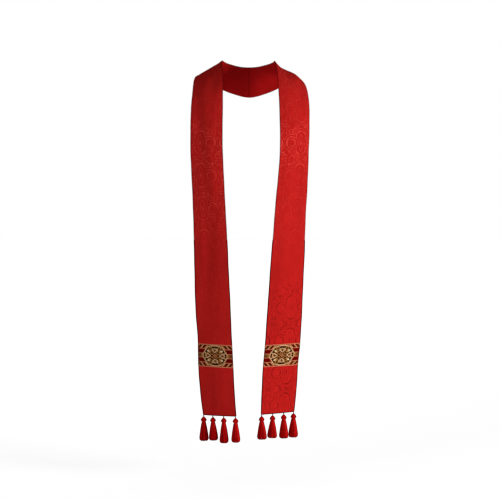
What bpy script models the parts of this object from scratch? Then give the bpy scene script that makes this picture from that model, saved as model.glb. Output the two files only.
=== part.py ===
"""Clerical stole in its worn form: two cloth halves, two woven galloons and eight tassels.

Metres, +Z up. The wearer faces -Y, so +X is the wearer's left. The origin is the middle of
the neck, level with the cloth on the shoulders, where the wearer holds the stole up.
Each half is a tapering band. It starts at the centre-back seam, goes round the neck and over
the shoulder, and hangs down the front to a straight hem with four tassels.
"""

import math
from collections import namedtuple

import bmesh
import bpy
import numpy as np

# Cloth and trims
WALL = 0.002
SEAM_HALF_GAP = 0.0002
LAY_GAP = 0.0003
GALLOON_WALL = 0.0009
CELLS_ACROSS = 8
SEAM_STRIP = 0.004

# The hang of each half, one row for each section line from the band's inner edge to its outer.
# steps: mesh steps down to the next row. _x: distance out from the middle, _y: depth, _z:
# height. bow: how far the cloth stands proud of the straight section line.
Section = namedtuple("Section", "name steps in_x in_y in_z out_x out_y out_z bow")
BACK = [
    Section("centre_back", 3, 0.000, 0.062, -0.028, 0.000, 0.108, -0.141, 0.000),
    Section("nape", 3, 0.037, 0.057, -0.025, 0.067, 0.104, -0.125, 0.003),
    Section("neck_back", 2, 0.071, 0.041, -0.016, 0.127, 0.083, -0.099, 0.004),
    Section("shoulder_back", 2, 0.091, 0.022, -0.008, 0.172, 0.051, -0.077, 0.002),
]
RIGHT_FRONT = [
    Section("shoulder_ridge", 2, 0.100, 0.003, -0.003, 0.197, 0.016, -0.063, -0.001),
    Section("shoulder_front", 2, 0.101, -0.024, -0.013, 0.204, -0.018, -0.075, 0.002),
    Section("collarbone", 2, 0.098, -0.051, -0.037, 0.208, -0.044, -0.101, 0.006),
    Section("upper_chest", 3, 0.096, -0.080, -0.083, 0.211, -0.064, -0.134, 0.007),
    Section("chest", 4, 0.096, -0.100, -0.150, 0.215, -0.077, -0.178, 0.006),
    Section("ribs", 8, 0.097, -0.114, -0.276, 0.217, -0.084, -0.280, 0.005),
    Section("waist", 8, 0.083, -0.124, -0.610, 0.206, -0.087, -0.610, 0.003),
    Section("knee", 3, 0.068, -0.126, -0.945, 0.197, -0.087, -0.944, 0.003),
    Section("galloon_top", 3, 0.063, -0.125, -1.057, 0.190, -0.085, -1.054, 0.003),
    Section("galloon_foot", 3, 0.059, -0.124, -1.142, 0.188, -0.083, -1.139, 0.003),
    Section("lower_end", 3, 0.054, -0.123, -1.230, 0.182, -0.081, -1.229, 0.003),
    Section("hem", 0, 0.048, -0.122, -1.323, 0.172, -0.078, -1.324, 0.002),
]
LEFT_FRONT = [
    Section("shoulder_ridge", 2, 0.096, 0.003, -0.004, 0.196, 0.014, -0.078, -0.001),
    Section("shoulder_front", 2, 0.099, -0.024, -0.015, 0.207, -0.013, -0.087, 0.002),
    Section("collarbone", 2, 0.102, -0.051, -0.040, 0.216, -0.035, -0.109, 0.005),
    Section("upper_chest", 3, 0.106, -0.080, -0.084, 0.222, -0.052, -0.140, 0.006),
    Section("chest", 4, 0.110, -0.100, -0.150, 0.224, -0.062, -0.178, 0.006),
    Section("ribs", 8, 0.114, -0.114, -0.276, 0.224, -0.068, -0.280, 0.005),
    Section("waist", 8, 0.091, -0.124, -0.610, 0.210, -0.081, -0.610, 0.003),
    Section("knee", 3, 0.067, -0.126, -0.945, 0.196, -0.087, -0.943, 0.003),
    Section("galloon_top", 3, 0.060, -0.125, -1.056, 0.190, -0.085, -1.052, 0.003),
    Section("galloon_foot", 3, 0.052, -0.124, -1.138, 0.182, -0.083, -1.135, 0.003),
    Section("lower_end", 3, 0.048, -0.123, -1.225, 0.177, -0.081, -1.222, 0.003),
    Section("hem", 0, 0.045, -0.122, -1.316, 0.169, -0.078, -1.312, 0.002),
]
HANGS = {"right": BACK + RIGHT_FRONT, "left": BACK + LEFT_FRONT}

# Soft troughs (depth under 0) and swells of the cloth: height of the middle, place across
# from inner edge 0 to outer edge 1, depth, half length, half width across and sideways drift.
Fold = namedtuple("Fold", "side z across depth half_length half_width drift")
FOLDS = [
    Fold("right", -0.085, 0.30, -0.0050, 0.050, 0.20, -1.5),
    Fold("right", -0.230, 0.72, -0.0030, 0.120, 0.16, 0.6),
    Fold("right", -0.420, 0.35, 0.0035, 0.170, 0.24, 0.5),
    Fold("right", -0.760, 0.62, -0.0035, 0.210, 0.20, -0.4),
    Fold("right", -1.225, 0.45, 0.0025, 0.070, 0.26, 0.0),
    Fold("left", -0.100, 0.78, -0.0045, 0.045, 0.18, 2.0),
    Fold("left", -0.200, 0.25, 0.0030, 0.110, 0.20, -0.5),
    Fold("left", -0.500, 0.66, -0.0035, 0.180, 0.20, 0.4),
    Fold("left", -0.850, 0.32, 0.0035, 0.180, 0.24, -0.3),
    Fold("left", -1.240, 0.60, -0.0025, 0.060, 0.24, 0.0),
]
# The left shoulder line dips beside the neck and swells at the arm.
LEFT_SHOULDER_WAVE = 0.0055
SHOULDER_WAVE_REACH = 0.075
# How softly the folds fade out over the shoulder, towards the back
FRONT_BLEND = 0.008

# Tassels: place along the hem from inner edge 0 to outer edge 1, length from the hem, width of
# the skirt's end, and how far that end hangs sideways, towards +X.
Tassel = namedtuple("Tassel", "name side across length spread sway")
TASSELS = [
    Tassel("tassel_right_1", "right", 0.988, 0.0970, 0.0335, 0.0018),
    Tassel("tassel_right_2", "right", 0.700, 0.0930, 0.0325, 0.0026),
    Tassel("tassel_right_3", "right", 0.370, 0.1010, 0.0320, 0.0016),
    Tassel("tassel_right_4", "right", 0.022, 0.0970, 0.0315, 0.0012),
    Tassel("tassel_left_1", "left", 0.016, 0.0925, 0.0345, 0.0016),
    Tassel("tassel_left_2", "left", 0.345, 0.0905, 0.0350, -0.0022),
    Tassel("tassel_left_3", "left", 0.680, 0.0955, 0.0335, 0.0002),
    Tassel("tassel_left_4", "left", 0.984, 0.0955, 0.0350, -0.0018),
]
CORD_RADIUS = 0.0013
CORD_DROP = 0.0085
SECTORS = 12
ROOT_RADIUS = 0.0072
RING_RADIUS = 0.0046
CORE_RADIUS = 0.0022
STRAND_PARTING = 0.00022
# The skirt's end is uneven in waves round the tassel, turned from one tassel to the next.
STRAND_UNEVENNESS = 0.0016
UNEVEN_WAVES = 5
UNEVEN_TURN = 900
# The tassel's head, as radius and depth below the cord's end
HeadRing = namedtuple("HeadRing", "radius depth")
HEAD = [
    HeadRing(0.0030, 0.0000),
    HeadRing(0.0055, 0.0035),
    HeadRing(0.0085, 0.0080),
    HeadRing(0.0092, 0.0105),
    HeadRing(0.0080, 0.0122),
    HeadRing(0.0062, 0.0145),
    HeadRing(0.0062, 0.0180),
    HeadRing(ROOT_RADIUS, 0.0195),
]
UNDERSIDE = CORD_DROP + HEAD[-1].depth
# How far the skirt has spread at each share of its depth
SkirtRing = namedtuple("SkirtRing", "depth_share spread_share")
SKIRT = [SkirtRing(0.42, 0.56), SkirtRing(1.0, 1.0)]

DAMASK_RED = (0.50, 0.012, 0.012, 1.0)
GALLOON_GOLD = (0.26, 0.13, 0.05, 1.0)
TASSEL_RED = (0.38, 0.006, 0.009, 1.0)

SIDES = {"right": -1.0, "left": 1.0}
# The step for slopes of the surface, and how near two points count as one
DIFFERENCE_STEP = 0.0005
SAME_POINT = 1e-6


def clear_scene():
    for old in list(bpy.data.objects):
        bpy.data.objects.remove(old, do_unlink=True)


def make_collection(name):
    collection = bpy.data.collections.new(name)
    bpy.context.scene.collection.children.link(collection)
    return collection


def make_material(name, color, roughness):
    material = bpy.data.materials.new(name)
    material.use_nodes = True
    shader = material.node_tree.nodes["Principled BSDF"]
    shader.inputs["Base Color"].default_value = color
    shader.inputs["Roughness"].default_value = roughness
    shader.inputs["Metallic"].default_value = 0.0
    material.diffuse_color = color
    return material


def edge_points(side):
    """The two edges' points, one for each section: arrays of (row, xyz) for inner and outer."""
    sign = SIDES[side]
    rows = HANGS[side]
    inner = [(sign * max(row.in_x, SEAM_HALF_GAP), row.in_y, row.in_z) for row in rows]
    outer = [(sign * max(row.out_x, SEAM_HALF_GAP), row.out_y, row.out_z) for row in rows]
    return np.array(inner), np.array(outer)


def section_knots(inner, outer):
    """The distance of each section from the centre back, along the middle of the band."""
    middle = (inner + outer) / 2
    steps = np.linalg.norm(np.diff(middle, axis=0), axis=1)
    return np.concatenate([[0.0], np.cumsum(steps)])


def tangents(knots, points, at_seam):
    """A slope for each row, so that the curve through the rows has no kinks."""
    spans = np.diff(knots)
    slopes = np.diff(points, axis=0) / spans[:, None]
    result = np.empty_like(points)
    result[0] = at_seam(slopes[0])
    result[-1] = slopes[-1]
    before, after = spans[:-1, None], spans[1:, None]
    result[1:-1] = (slopes[:-1] * after + slopes[1:] * before) / (before + after)
    return result


def curve_at(knots, points, slopes, distances):
    """Cubic curve through the rows, read at each distance."""
    index = np.clip(np.searchsorted(knots, distances, side="right") - 1, 0, len(knots) - 2)
    span = knots[index + 1] - knots[index]
    t = ((distances - knots[index]) / span)[:, None]
    span = span[:, None]
    start, end = points[index], points[index + 1]
    return (
        (2 * t**3 - 3 * t**2 + 1) * start
        + (t**3 - 2 * t**2 + t) * span * slopes[index]
        + (3 * t**2 - 2 * t**3) * end
        + (t**3 - t**2) * span * slopes[index + 1]
    )


class Band:
    """The outer face of one half of the stole, as a smooth surface."""

    def __init__(self, side):
        self.side = side
        self.inner, self.outer = edge_points(side)
        self.knots = section_knots(self.inner, self.outer)
        self.names = [row.name for row in HANGS[side]]
        level = np.array([1.0, 0.0, 0.0])
        self.inner_slopes = tangents(self.knots, self.inner, lambda slope: slope * level)
        self.outer_slopes = tangents(self.knots, self.outer, lambda slope: slope * level)
        self.bows = np.array([[row.bow] for row in HANGS[side]])
        self.bow_slopes = tangents(self.knots, self.bows, lambda slope: slope * 0)

    def distance_of(self, name):
        return self.knots[self.names.index(name)]

    def ruled(self, distances, across):
        """Points on the straight section lines: array of (distance, across, xyz)."""
        inner = curve_at(self.knots, self.inner, self.inner_slopes, distances)
        outer = curve_at(self.knots, self.outer, self.outer_slopes, distances)
        share = np.asarray(across)[None, :, None]
        return inner[:, None, :] * (1 - share) + outer[:, None, :] * share

    def proud(self, distances, across, base):
        """How far the cloth stands off its section lines: the bow, the shoulder wave, the folds."""
        share = np.asarray(across)[None, :]
        bow = curve_at(self.knots, self.bows, self.bow_slopes, distances)
        offset = bow * 4 * share * (1 - share)
        if self.side == "left":
            near = (distances - self.distance_of("shoulder_ridge")) / SHOULDER_WAVE_REACH
            wave = LEFT_SHOULDER_WAVE * np.exp(-(near**2))[:, None]
            offset = offset - wave * np.sin(2 * math.pi * share)
        in_front = 1 / (1 + np.exp(base[..., 1] / FRONT_BLEND))
        for fold in FOLDS:
            if fold.side != self.side:
                continue
            along = base[..., 2] - fold.z
            middle = fold.across + fold.drift * along
            bump = np.exp(-((along / fold.half_length) ** 2) - ((share - middle) / fold.half_width) ** 2)
            offset = offset + fold.depth * bump * in_front
        return offset

    def normals(self, points_at, distances, across):
        """Unit normals, away from the wearer, by small differences."""
        step = DIFFERENCE_STEP
        share = np.asarray(across)
        along = points_at(distances + step, share) - points_at(distances - step, share)
        over = points_at(distances, share + step) - points_at(distances, share - step)
        normal = np.cross(along, over) * SIDES[self.side]
        return normal / np.linalg.norm(normal, axis=-1, keepdims=True)

    def face(self, distances, across):
        """Points of the cloth's outer face."""
        base = self.ruled(distances, across)
        out = self.normals(self.ruled, distances, across)
        return base + out * self.proud(distances, across, base)[..., None]

    def sampled(self, distances, across):
        """The outer face's points and unit normals."""
        distances = np.asarray(distances, float)
        return self.face(distances, across), self.normals(self.face, distances, across)


def row_distances(band, first, last):
    """The distances of the mesh rows from one named section to another."""
    start, end = band.names.index(first), band.names.index(last)
    distances = []
    for index in range(start, end):
        steps = HANGS[band.side][index].steps
        stretch = np.linspace(band.knots[index], band.knots[index + 1], steps + 1)
        distances.extend(stretch[:-1])
    distances.append(band.knots[end])
    if start == 0:
        distances.insert(1, SEAM_STRIP)
    return np.array(distances)


def sheet_object(name, points, side, material, collection, thickness, outward):
    """A wall with the given points as one face, thickened inward or outward."""
    rows, columns = points.shape[:2]
    mesh = bpy.data.meshes.new(name)
    grid = bmesh.new()
    bmesh.ops.create_grid(grid, x_segments=columns - 1, y_segments=rows - 1, size=1.0)
    for vert in grid.verts:
        column = round((vert.co.x + 1) / 2 * (columns - 1))
        row = round((vert.co.y + 1) / 2 * (rows - 1))
        vert.co = points[row, column]
    if side == "left":
        bmesh.ops.reverse_faces(grid, faces=grid.faces[:])
    grid.to_mesh(mesh)
    grid.free()
    mesh.materials.append(material)
    mesh.shade_smooth()
    obj = bpy.data.objects.new(name, mesh)
    collection.objects.link(obj)
    solidify = obj.modifiers.new("wall", "SOLIDIFY")
    solidify.thickness = thickness
    solidify.offset = 1.0 if outward else -1.0
    solidify.use_even_offset = True
    solidify.use_quality_normals = True
    return obj


def make_half(band, material, collection):
    across = np.linspace(0, 1, CELLS_ACROSS + 1)
    distances = row_distances(band, "centre_back", "hem")
    points, _ = band.sampled(distances, across)
    return sheet_object(f"stole_half_{band.side}", points, band.side, material, collection, WALL, False)


def make_galloon(band, material, collection):
    """The woven band across the front, laid on the cloth from edge to edge."""
    across = np.linspace(0, 1, CELLS_ACROSS + 1)
    distances = row_distances(band, "galloon_top", "galloon_foot")
    points, out = band.sampled(distances, across)
    points = points + out * LAY_GAP
    return sheet_object(f"galloon_{band.side}", points, band.side, material, collection, GALLOON_WALL, True)


def tassel_profile():
    """Radius and height from the cord's top, down the head and in across its underside."""
    profile = [(0.0, 0.0), (CORD_RADIUS, 0.0), (CORD_RADIUS, -CORD_DROP)]
    profile += [(ring.radius, -CORD_DROP - ring.depth) for ring in HEAD]
    profile += [(RING_RADIUS, -UNDERSIDE), (CORE_RADIUS, -UNDERSIDE), (0.0, -UNDERSIDE)]
    return profile


def turn_profile(bm, profile):
    """Turns a profile about Z and closes it at the axis."""
    verts = [bm.verts.new((radius, 0.0, height)) for radius, height in profile]
    edges = [bm.edges.new(pair) for pair in zip(verts, verts[1:])]
    bmesh.ops.spin(
        bm,
        geom=verts + edges,
        cent=(0, 0, 0),
        axis=(0, 0, 1),
        angle=2 * math.pi,
        steps=SECTORS,
        use_merge=True,
    )
    bmesh.ops.remove_doubles(bm, verts=bm.verts[:], dist=SAME_POINT)
    bmesh.ops.recalc_face_normals(bm, faces=bm.faces[:])


def strand_cells(bm):
    """The faces under the head that the strands grow from."""
    cells = []
    for face in bm.faces:
        centre = face.calc_center_median()
        if abs(centre.z + UNDERSIDE) < SAME_POINT and math.hypot(centre.x, centre.y) > CORE_RADIUS:
            cells.append(face)
    return cells


def draw_strands(bm, cells, tassel):
    """Draws each cell down as a strand of its own, the strands fanning out to the skirt."""
    bmesh.ops.inset_individual(bm, faces=cells, thickness=STRAND_PARTING, use_even_offset=True)
    fan = tassel.spread / 2 / ROOT_RADIUS
    drawn = tassel.length - UNDERSIDE - STRAND_UNEVENNESS
    before = 1.0
    for ring in SKIRT:
        cells = bmesh.ops.extrude_discrete_faces(bm, faces=cells)["faces"]
        spread = 1 + (fan - 1) * ring.spread_share
        for face in cells:
            centre = face.calc_center_median()
            angle = math.atan2(centre.y, centre.x)
            uneven = STRAND_UNEVENNESS * math.sin(UNEVEN_WAVES * angle + UNEVEN_TURN * tassel.length)
            depth = UNDERSIDE + (drawn + uneven) * ring.depth_share
            for vert in face.verts:
                vert.co.x *= spread / before
                vert.co.y *= spread / before
                vert.co.z = -depth
        before = spread


def make_tassel(tassel, band, material, collection):
    """One body: the hanging cord, the turned head and the strands of the skirt."""
    bm = bmesh.new()
    turn_profile(bm, tassel_profile())
    draw_strands(bm, strand_cells(bm), tassel)
    mesh = bpy.data.meshes.new(tassel.name)
    bm.to_mesh(mesh)
    bm.free()
    mesh.materials.append(material)
    obj = bpy.data.objects.new(tassel.name, mesh)
    collection.objects.link(obj)
    points, out = band.sampled([band.distance_of("hem")], [tassel.across])
    place = points[0, 0] - out[0, 0] * WALL / 2
    obj.location = (place[0], place[1], place[2] - LAY_GAP)
    obj.rotation_euler = (0.0, -math.atan2(tassel.sway, tassel.length), 0.0)
    return obj


def main():
    clear_scene()
    collection = make_collection("clerical_stole")
    damask = make_material("damask_red", DAMASK_RED, 0.55)
    galloon = make_material("galloon_gold", GALLOON_GOLD, 0.60)
    silk = make_material("tassel_red", TASSEL_RED, 0.50)
    bands = {side: Band(side) for side in SIDES}
    for band in bands.values():
        make_half(band, damask, collection)
        make_galloon(band, galloon, collection)
    for tassel in TASSELS:
        make_tassel(tassel, bands[tassel.side], silk, collection)


main()
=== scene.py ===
"""The looks of a clerical stole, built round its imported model.

Metres, +Z up. The wearer faces -Y, so +X is the wearer's left. The sections, folds and tassels,
and the surface that Band works out from them, are those of the model's source. Patterns are
drawn in millimetres on the cloth.
"""

import math
from collections import namedtuple
from functools import reduce

import bpy
import numpy as np
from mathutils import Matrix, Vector

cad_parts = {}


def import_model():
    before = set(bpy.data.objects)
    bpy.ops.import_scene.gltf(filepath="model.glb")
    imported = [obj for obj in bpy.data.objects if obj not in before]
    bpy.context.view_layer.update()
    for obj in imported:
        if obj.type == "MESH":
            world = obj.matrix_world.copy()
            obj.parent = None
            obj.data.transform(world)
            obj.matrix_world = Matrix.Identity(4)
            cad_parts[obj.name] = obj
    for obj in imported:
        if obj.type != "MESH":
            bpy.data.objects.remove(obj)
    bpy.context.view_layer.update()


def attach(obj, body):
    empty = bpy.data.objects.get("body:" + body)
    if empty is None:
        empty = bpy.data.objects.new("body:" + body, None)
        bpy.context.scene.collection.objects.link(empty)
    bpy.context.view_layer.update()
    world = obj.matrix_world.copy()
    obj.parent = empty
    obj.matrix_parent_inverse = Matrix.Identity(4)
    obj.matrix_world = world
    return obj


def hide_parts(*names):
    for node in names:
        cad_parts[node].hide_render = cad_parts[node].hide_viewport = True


MM = 1000.0
TURN = 2 * math.pi
SIDES = {"right": -1.0, "left": 1.0}

# -------- the model's own sizes
WALL = 0.002
SEAM_HALF_GAP = 0.0002
LAY_GAP = 0.0003
GALLOON_WALL = 0.0009
CORD_DROP = 0.0085

# A section's name, then its inner edge's x, y, z, its outer edge's, and the bow between them, all
# in millimetres
BACK = [
    ("centre_back", 0, 62, -28, 0, 108, -141, 0),
    ("nape", 37, 57, -25, 67, 104, -125, 3),
    ("neck_back", 71, 41, -16, 127, 83, -99, 4),
    ("shoulder_back", 91, 22, -8, 172, 51, -77, 2),
]
RIGHT_FRONT = [
    ("shoulder_ridge", 100, 3, -3, 197, 16, -63, -1),
    ("shoulder_front", 101, -24, -13, 204, -18, -75, 2),
    ("collarbone", 98, -51, -37, 208, -44, -101, 6),
    ("upper_chest", 96, -80, -83, 211, -64, -134, 7),
    ("chest", 96, -100, -150, 215, -77, -178, 6),
    ("ribs", 97, -114, -276, 217, -84, -280, 5),
    ("waist", 83, -124, -610, 206, -87, -610, 3),
    ("knee", 68, -126, -945, 197, -87, -944, 3),
    ("galloon_top", 63, -125, -1057, 190, -85, -1054, 3),
    ("galloon_foot", 59, -124, -1142, 188, -83, -1139, 3),
    ("lower_end", 54, -123, -1230, 182, -81, -1229, 3),
    ("hem", 48, -122, -1323, 172, -78, -1324, 2),
]
LEFT_FRONT = [
    ("shoulder_ridge", 96, 3, -4, 196, 14, -78, -1),
    ("shoulder_front", 99, -24, -15, 207, -13, -87, 2),
    ("collarbone", 102, -51, -40, 216, -35, -109, 5),
    ("upper_chest", 106, -80, -84, 222, -52, -140, 6),
    ("chest", 110, -100, -150, 224, -62, -178, 6),
    ("ribs", 114, -114, -276, 224, -68, -280, 5),
    ("waist", 91, -124, -610, 210, -81, -610, 3),
    ("knee", 67, -126, -945, 196, -87, -943, 3),
    ("galloon_top", 60, -125, -1056, 190, -85, -1052, 3),
    ("galloon_foot", 52, -124, -1138, 182, -83, -1135, 3),
    ("lower_end", 48, -123, -1225, 177, -81, -1222, 3),
    ("hem", 45, -122, -1316, 169, -78, -1312, 2),
]
HANGS = {"right": BACK + RIGHT_FRONT, "left": BACK + LEFT_FRONT}

# A fold's height, place across from inner edge 0 to outer edge 1, depth (under 0 is a trough),
# half length, half width as a share, and drift across for each metre up
FOLD_UNITS = (MM, 1, MM, MM, 1, 1)
FOLDS = {
    "right": [
        (-85, 0.30, -5.0, 50, 0.20, -1.5),
        (-230, 0.72, -3.0, 120, 0.16, 0.6),
        (-420, 0.35, 3.5, 170, 0.24, 0.5),
        (-760, 0.62, -3.5, 210, 0.20, -0.4),
        (-1225, 0.45, 2.5, 70, 0.26, 0.0),
    ],
    "left": [
        (-100, 0.78, -4.5, 45, 0.18, 2.0),
        (-200, 0.25, 3.0, 110, 0.20, -0.5),
        (-500, 0.66, -3.5, 180, 0.20, 0.4),
        (-850, 0.32, 3.5, 180, 0.24, -0.3),
        (-1240, 0.60, -2.5, 60, 0.24, 0.0),
    ],
}
# A wave over each shoulder line: its depth and its reach along the band
SHOULDER_WAVE = {"right": 0.0, "left": 0.0055}
SHOULDER_WAVE_REACH = 0.075
FRONT_BLEND = 0.008

Tassel = namedtuple("Tassel", "name side across length spread sway")
TASSELS = [
    Tassel("tassel_right_1", "right", 0.988, 0.0970, 0.0335, 0.0018),
    Tassel("tassel_right_2", "right", 0.700, 0.0930, 0.0325, 0.0026),
    Tassel("tassel_right_3", "right", 0.370, 0.1010, 0.0320, 0.0016),
    Tassel("tassel_right_4", "right", 0.022, 0.0970, 0.0315, 0.0012),
    Tassel("tassel_left_1", "left", 0.016, 0.0925, 0.0345, 0.0016),
    Tassel("tassel_left_2", "left", 0.345, 0.0905, 0.0350, -0.0022),
    Tassel("tassel_left_3", "left", 0.680, 0.0955, 0.0335, 0.0002),
    Tassel("tassel_left_4", "left", 0.984, 0.0955, 0.0350, -0.0018),
]

# -------- small shapes of the cloth
# A crease's distance from the centre back, place across, depth (under 0 is a trough), half
# length, half width, and degrees from straight along the band
CREASE_UNITS = (MM, 1, MM, MM, MM, 1)
CREASES = {
    "right": [
        (30, 0.35, -0.9, 40, 9, 62),
        (72, 0.62, 1.1, 50, 13, 50),
        (118, 0.30, -1.2, 46, 10, 38),
        (150, 0.70, 0.8, 35, 11, 66),
        (205, 0.24, -1.3, 34, 9, 24),
        (243, 0.56, 1.2, 52, 14, -28),
        (300, 0.82, -0.9, 60, 10, -14),
        (390, 0.24, 0.9, 95, 12, 7),
        (560, 0.60, -0.8, 120, 15, -6),
        (725, 0.27, -1.0, 85, 12, 9),
        (905, 0.74, 0.9, 110, 14, -5),
        (1080, 0.38, -0.7, 70, 13, 12),
        (1215, 0.52, -0.6, 60, 6, 88),
        (1372, 0.30, 0.7, 52, 10, -16),
        (1468, 0.68, -0.8, 38, 11, 9),
    ],
    "left": [
        (26, 0.55, -1.0, 38, 10, 57),
        (81, 0.34, 1.0, 55, 12, 44),
        (126, 0.72, -1.1, 40, 11, 52),
        (168, 0.33, 0.9, 30, 9, 30),
        (214, 0.44, -1.2, 45, 11, 34),
        (262, 0.22, 0.9, 42, 10, 12),
        (318, 0.76, -1.0, 66, 12, -18),
        (455, 0.36, -0.8, 105, 14, 5),
        (610, 0.22, 0.9, 90, 12, -8),
        (770, 0.70, -0.9, 115, 14, 7),
        (945, 0.30, 0.7, 80, 11, -10),
        (1100, 0.62, -0.9, 75, 12, 6),
        (1200, 0.46, -0.6, 58, 6, 92),
        (1362, 0.66, 0.8, 48, 11, 14),
        (1452, 0.28, -0.9, 40, 10, -12),
    ],
}
# A swing of a long edge, inner 0 or outer 1: its depth, wave length and phase
SWING_UNITS = (1, MM, MM, 1)
SWINGS = {
    "right": [
        (0, 1.1, 231, 0.4),
        (0, 0.6, 87, 1.9),
        (1, 1.2, 287, 2.6),
        (1, 0.6, 103, 0.3),
    ],
    "left": [
        (0, 1.2, 263, 1.2),
        (0, 0.5, 94, 2.8),
        (1, 1.0, 247, 3.9),
        (1, 0.7, 112, 0.9),
    ],
}
# The power of the share across by which a swing fades away from its edge
SWING_FADE = 5

# Painted sheen of the damask's figure, at distances from the centre back: over 0 the figure is
# painted lighter than the ground, under 0 darker, as the light falls on it down each half
PAINTED_FIGURE_SHEEN = {
    "right": (
        (0.00, 0.25, 0.40, 0.46, 0.66, 0.82, 0.90, 1.45),
        (0.50, 0.15, 0.20, 0.78, 0.68, 0.44, 0.15, 0.12),
    ),
    "left": (
        (0.00, 0.25, 0.32, 0.38, 0.44, 0.53, 0.60, 0.86, 0.97, 1.06, 1.50),
        (0.50, 0.40, 0.30, 0.22, 0.90, 0.90, 0.35, 0.20, -0.20, -0.75, -0.90),
    ),
}
# How far along the damask each half was cut, in millimetres
CLOTH_SHIFT = {"right": 0.0, "left": 11.0}

# -------- how a half is made up
HALF_WALL = WALL / 2
SEAM_OVERLAP = 0.00034
# The painted shade along the centre-back seam is this many times narrower than along the edges
SEAM_SHADE = 2.5
TURNED_EDGE = 0.0036
HEM_TURNING = 0.0085
TURNING_BLEND = 0.0005
LINING_STEP = 0.0004
SEAM_ALLOWANCE = 0.0125
ALLOWANCE_BLEND = 0.0015
ALLOWANCE_RIDGE = 0.00022
RIDGE_START = 0.004
CORNER_RADIUS = 0.0042
# Mesh lines near an edge, by their distance from it, and more of them by the hem's turning
EDGE_LINES = (0.0, 0.00006, 0.00025, 0.0006, 0.0010, 0.0018, 0.0028, 0.0034, 0.0040, 0.0048)
HEM_LINES = (HEM_TURNING - 0.0006, HEM_TURNING, HEM_TURNING + 0.0006)
USUAL_WIDTH = 0.128
COLUMN_STEP = 0.0027
ROW_STEP = 0.0040
NORMAL_STEP = 0.0005
# The export's bake map, and the bare share at each side of its strips
BAKE_MAP = "OFBake"
MAP_MARGIN = 0.016

# -------- galloon and thread
GALLOON_STEP = 0.00075
GALLOON_LINES = (0.0, 0.00008, 0.0003, 0.0007)
GALLOON_RELIEF = 0.00030
GALLOON_EDGE_RADIUS = 0.0006
# Where in the galloon's thickness its turned edge lies
GALLOON_EDGE_SHARE = 0.35
STITCH_LENGTH = 0.0026
STITCH_PITCH = 0.0034
STITCH_RADIUS = 0.00019
STITCH_INSET = 0.0013
STITCH_SINK = 0.00035
STITCH_ARCH = 0.0005
STITCH_ROUNDNESS = 0.6
SLIP_PITCH = 0.0055
SLIP_SLANT = 0.0016
SLIP_REACH = 0.0018
SLIP_RISE = 0.00012
SLIP_RADIUS = 0.00017
STITCH_SIDES = 5


# ======== the band's surface
def unit(vectors):
    return vectors / np.linalg.norm(vectors, axis=-1, keepdims=True)


class Track:
    """A smooth curve through the values at a half's sections, by distance along the half."""

    def __init__(self, knots, values, seam_slope):
        spans = np.diff(knots)
        steps = np.diff(values, axis=0) / spans[:, None]
        before, after = spans[:-1, None], spans[1:, None]
        slopes = np.empty_like(values)
        slopes[0], slopes[-1] = steps[0] * seam_slope, steps[-1]
        slopes[1:-1] = (steps[:-1] * after + steps[1:] * before) / (before + after)
        self.knots, self.values, self.slopes = knots, values, slopes

    def at(self, distances):
        knots = self.knots
        index = np.clip(np.searchsorted(knots, distances, side="right") - 1, 0, len(knots) - 2)
        span = (knots[index + 1] - knots[index])[:, None]
        t = (distances - knots[index])[:, None] / span
        return (
            (2 * t**3 - 3 * t**2 + 1) * self.values[index]
            + (t**3 - 2 * t**2 + t) * span * self.slopes[index]
            + (3 * t**2 - 2 * t**3) * self.values[index + 1]
            + (t**3 - t**2) * span * self.slopes[index + 1]
        )


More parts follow.
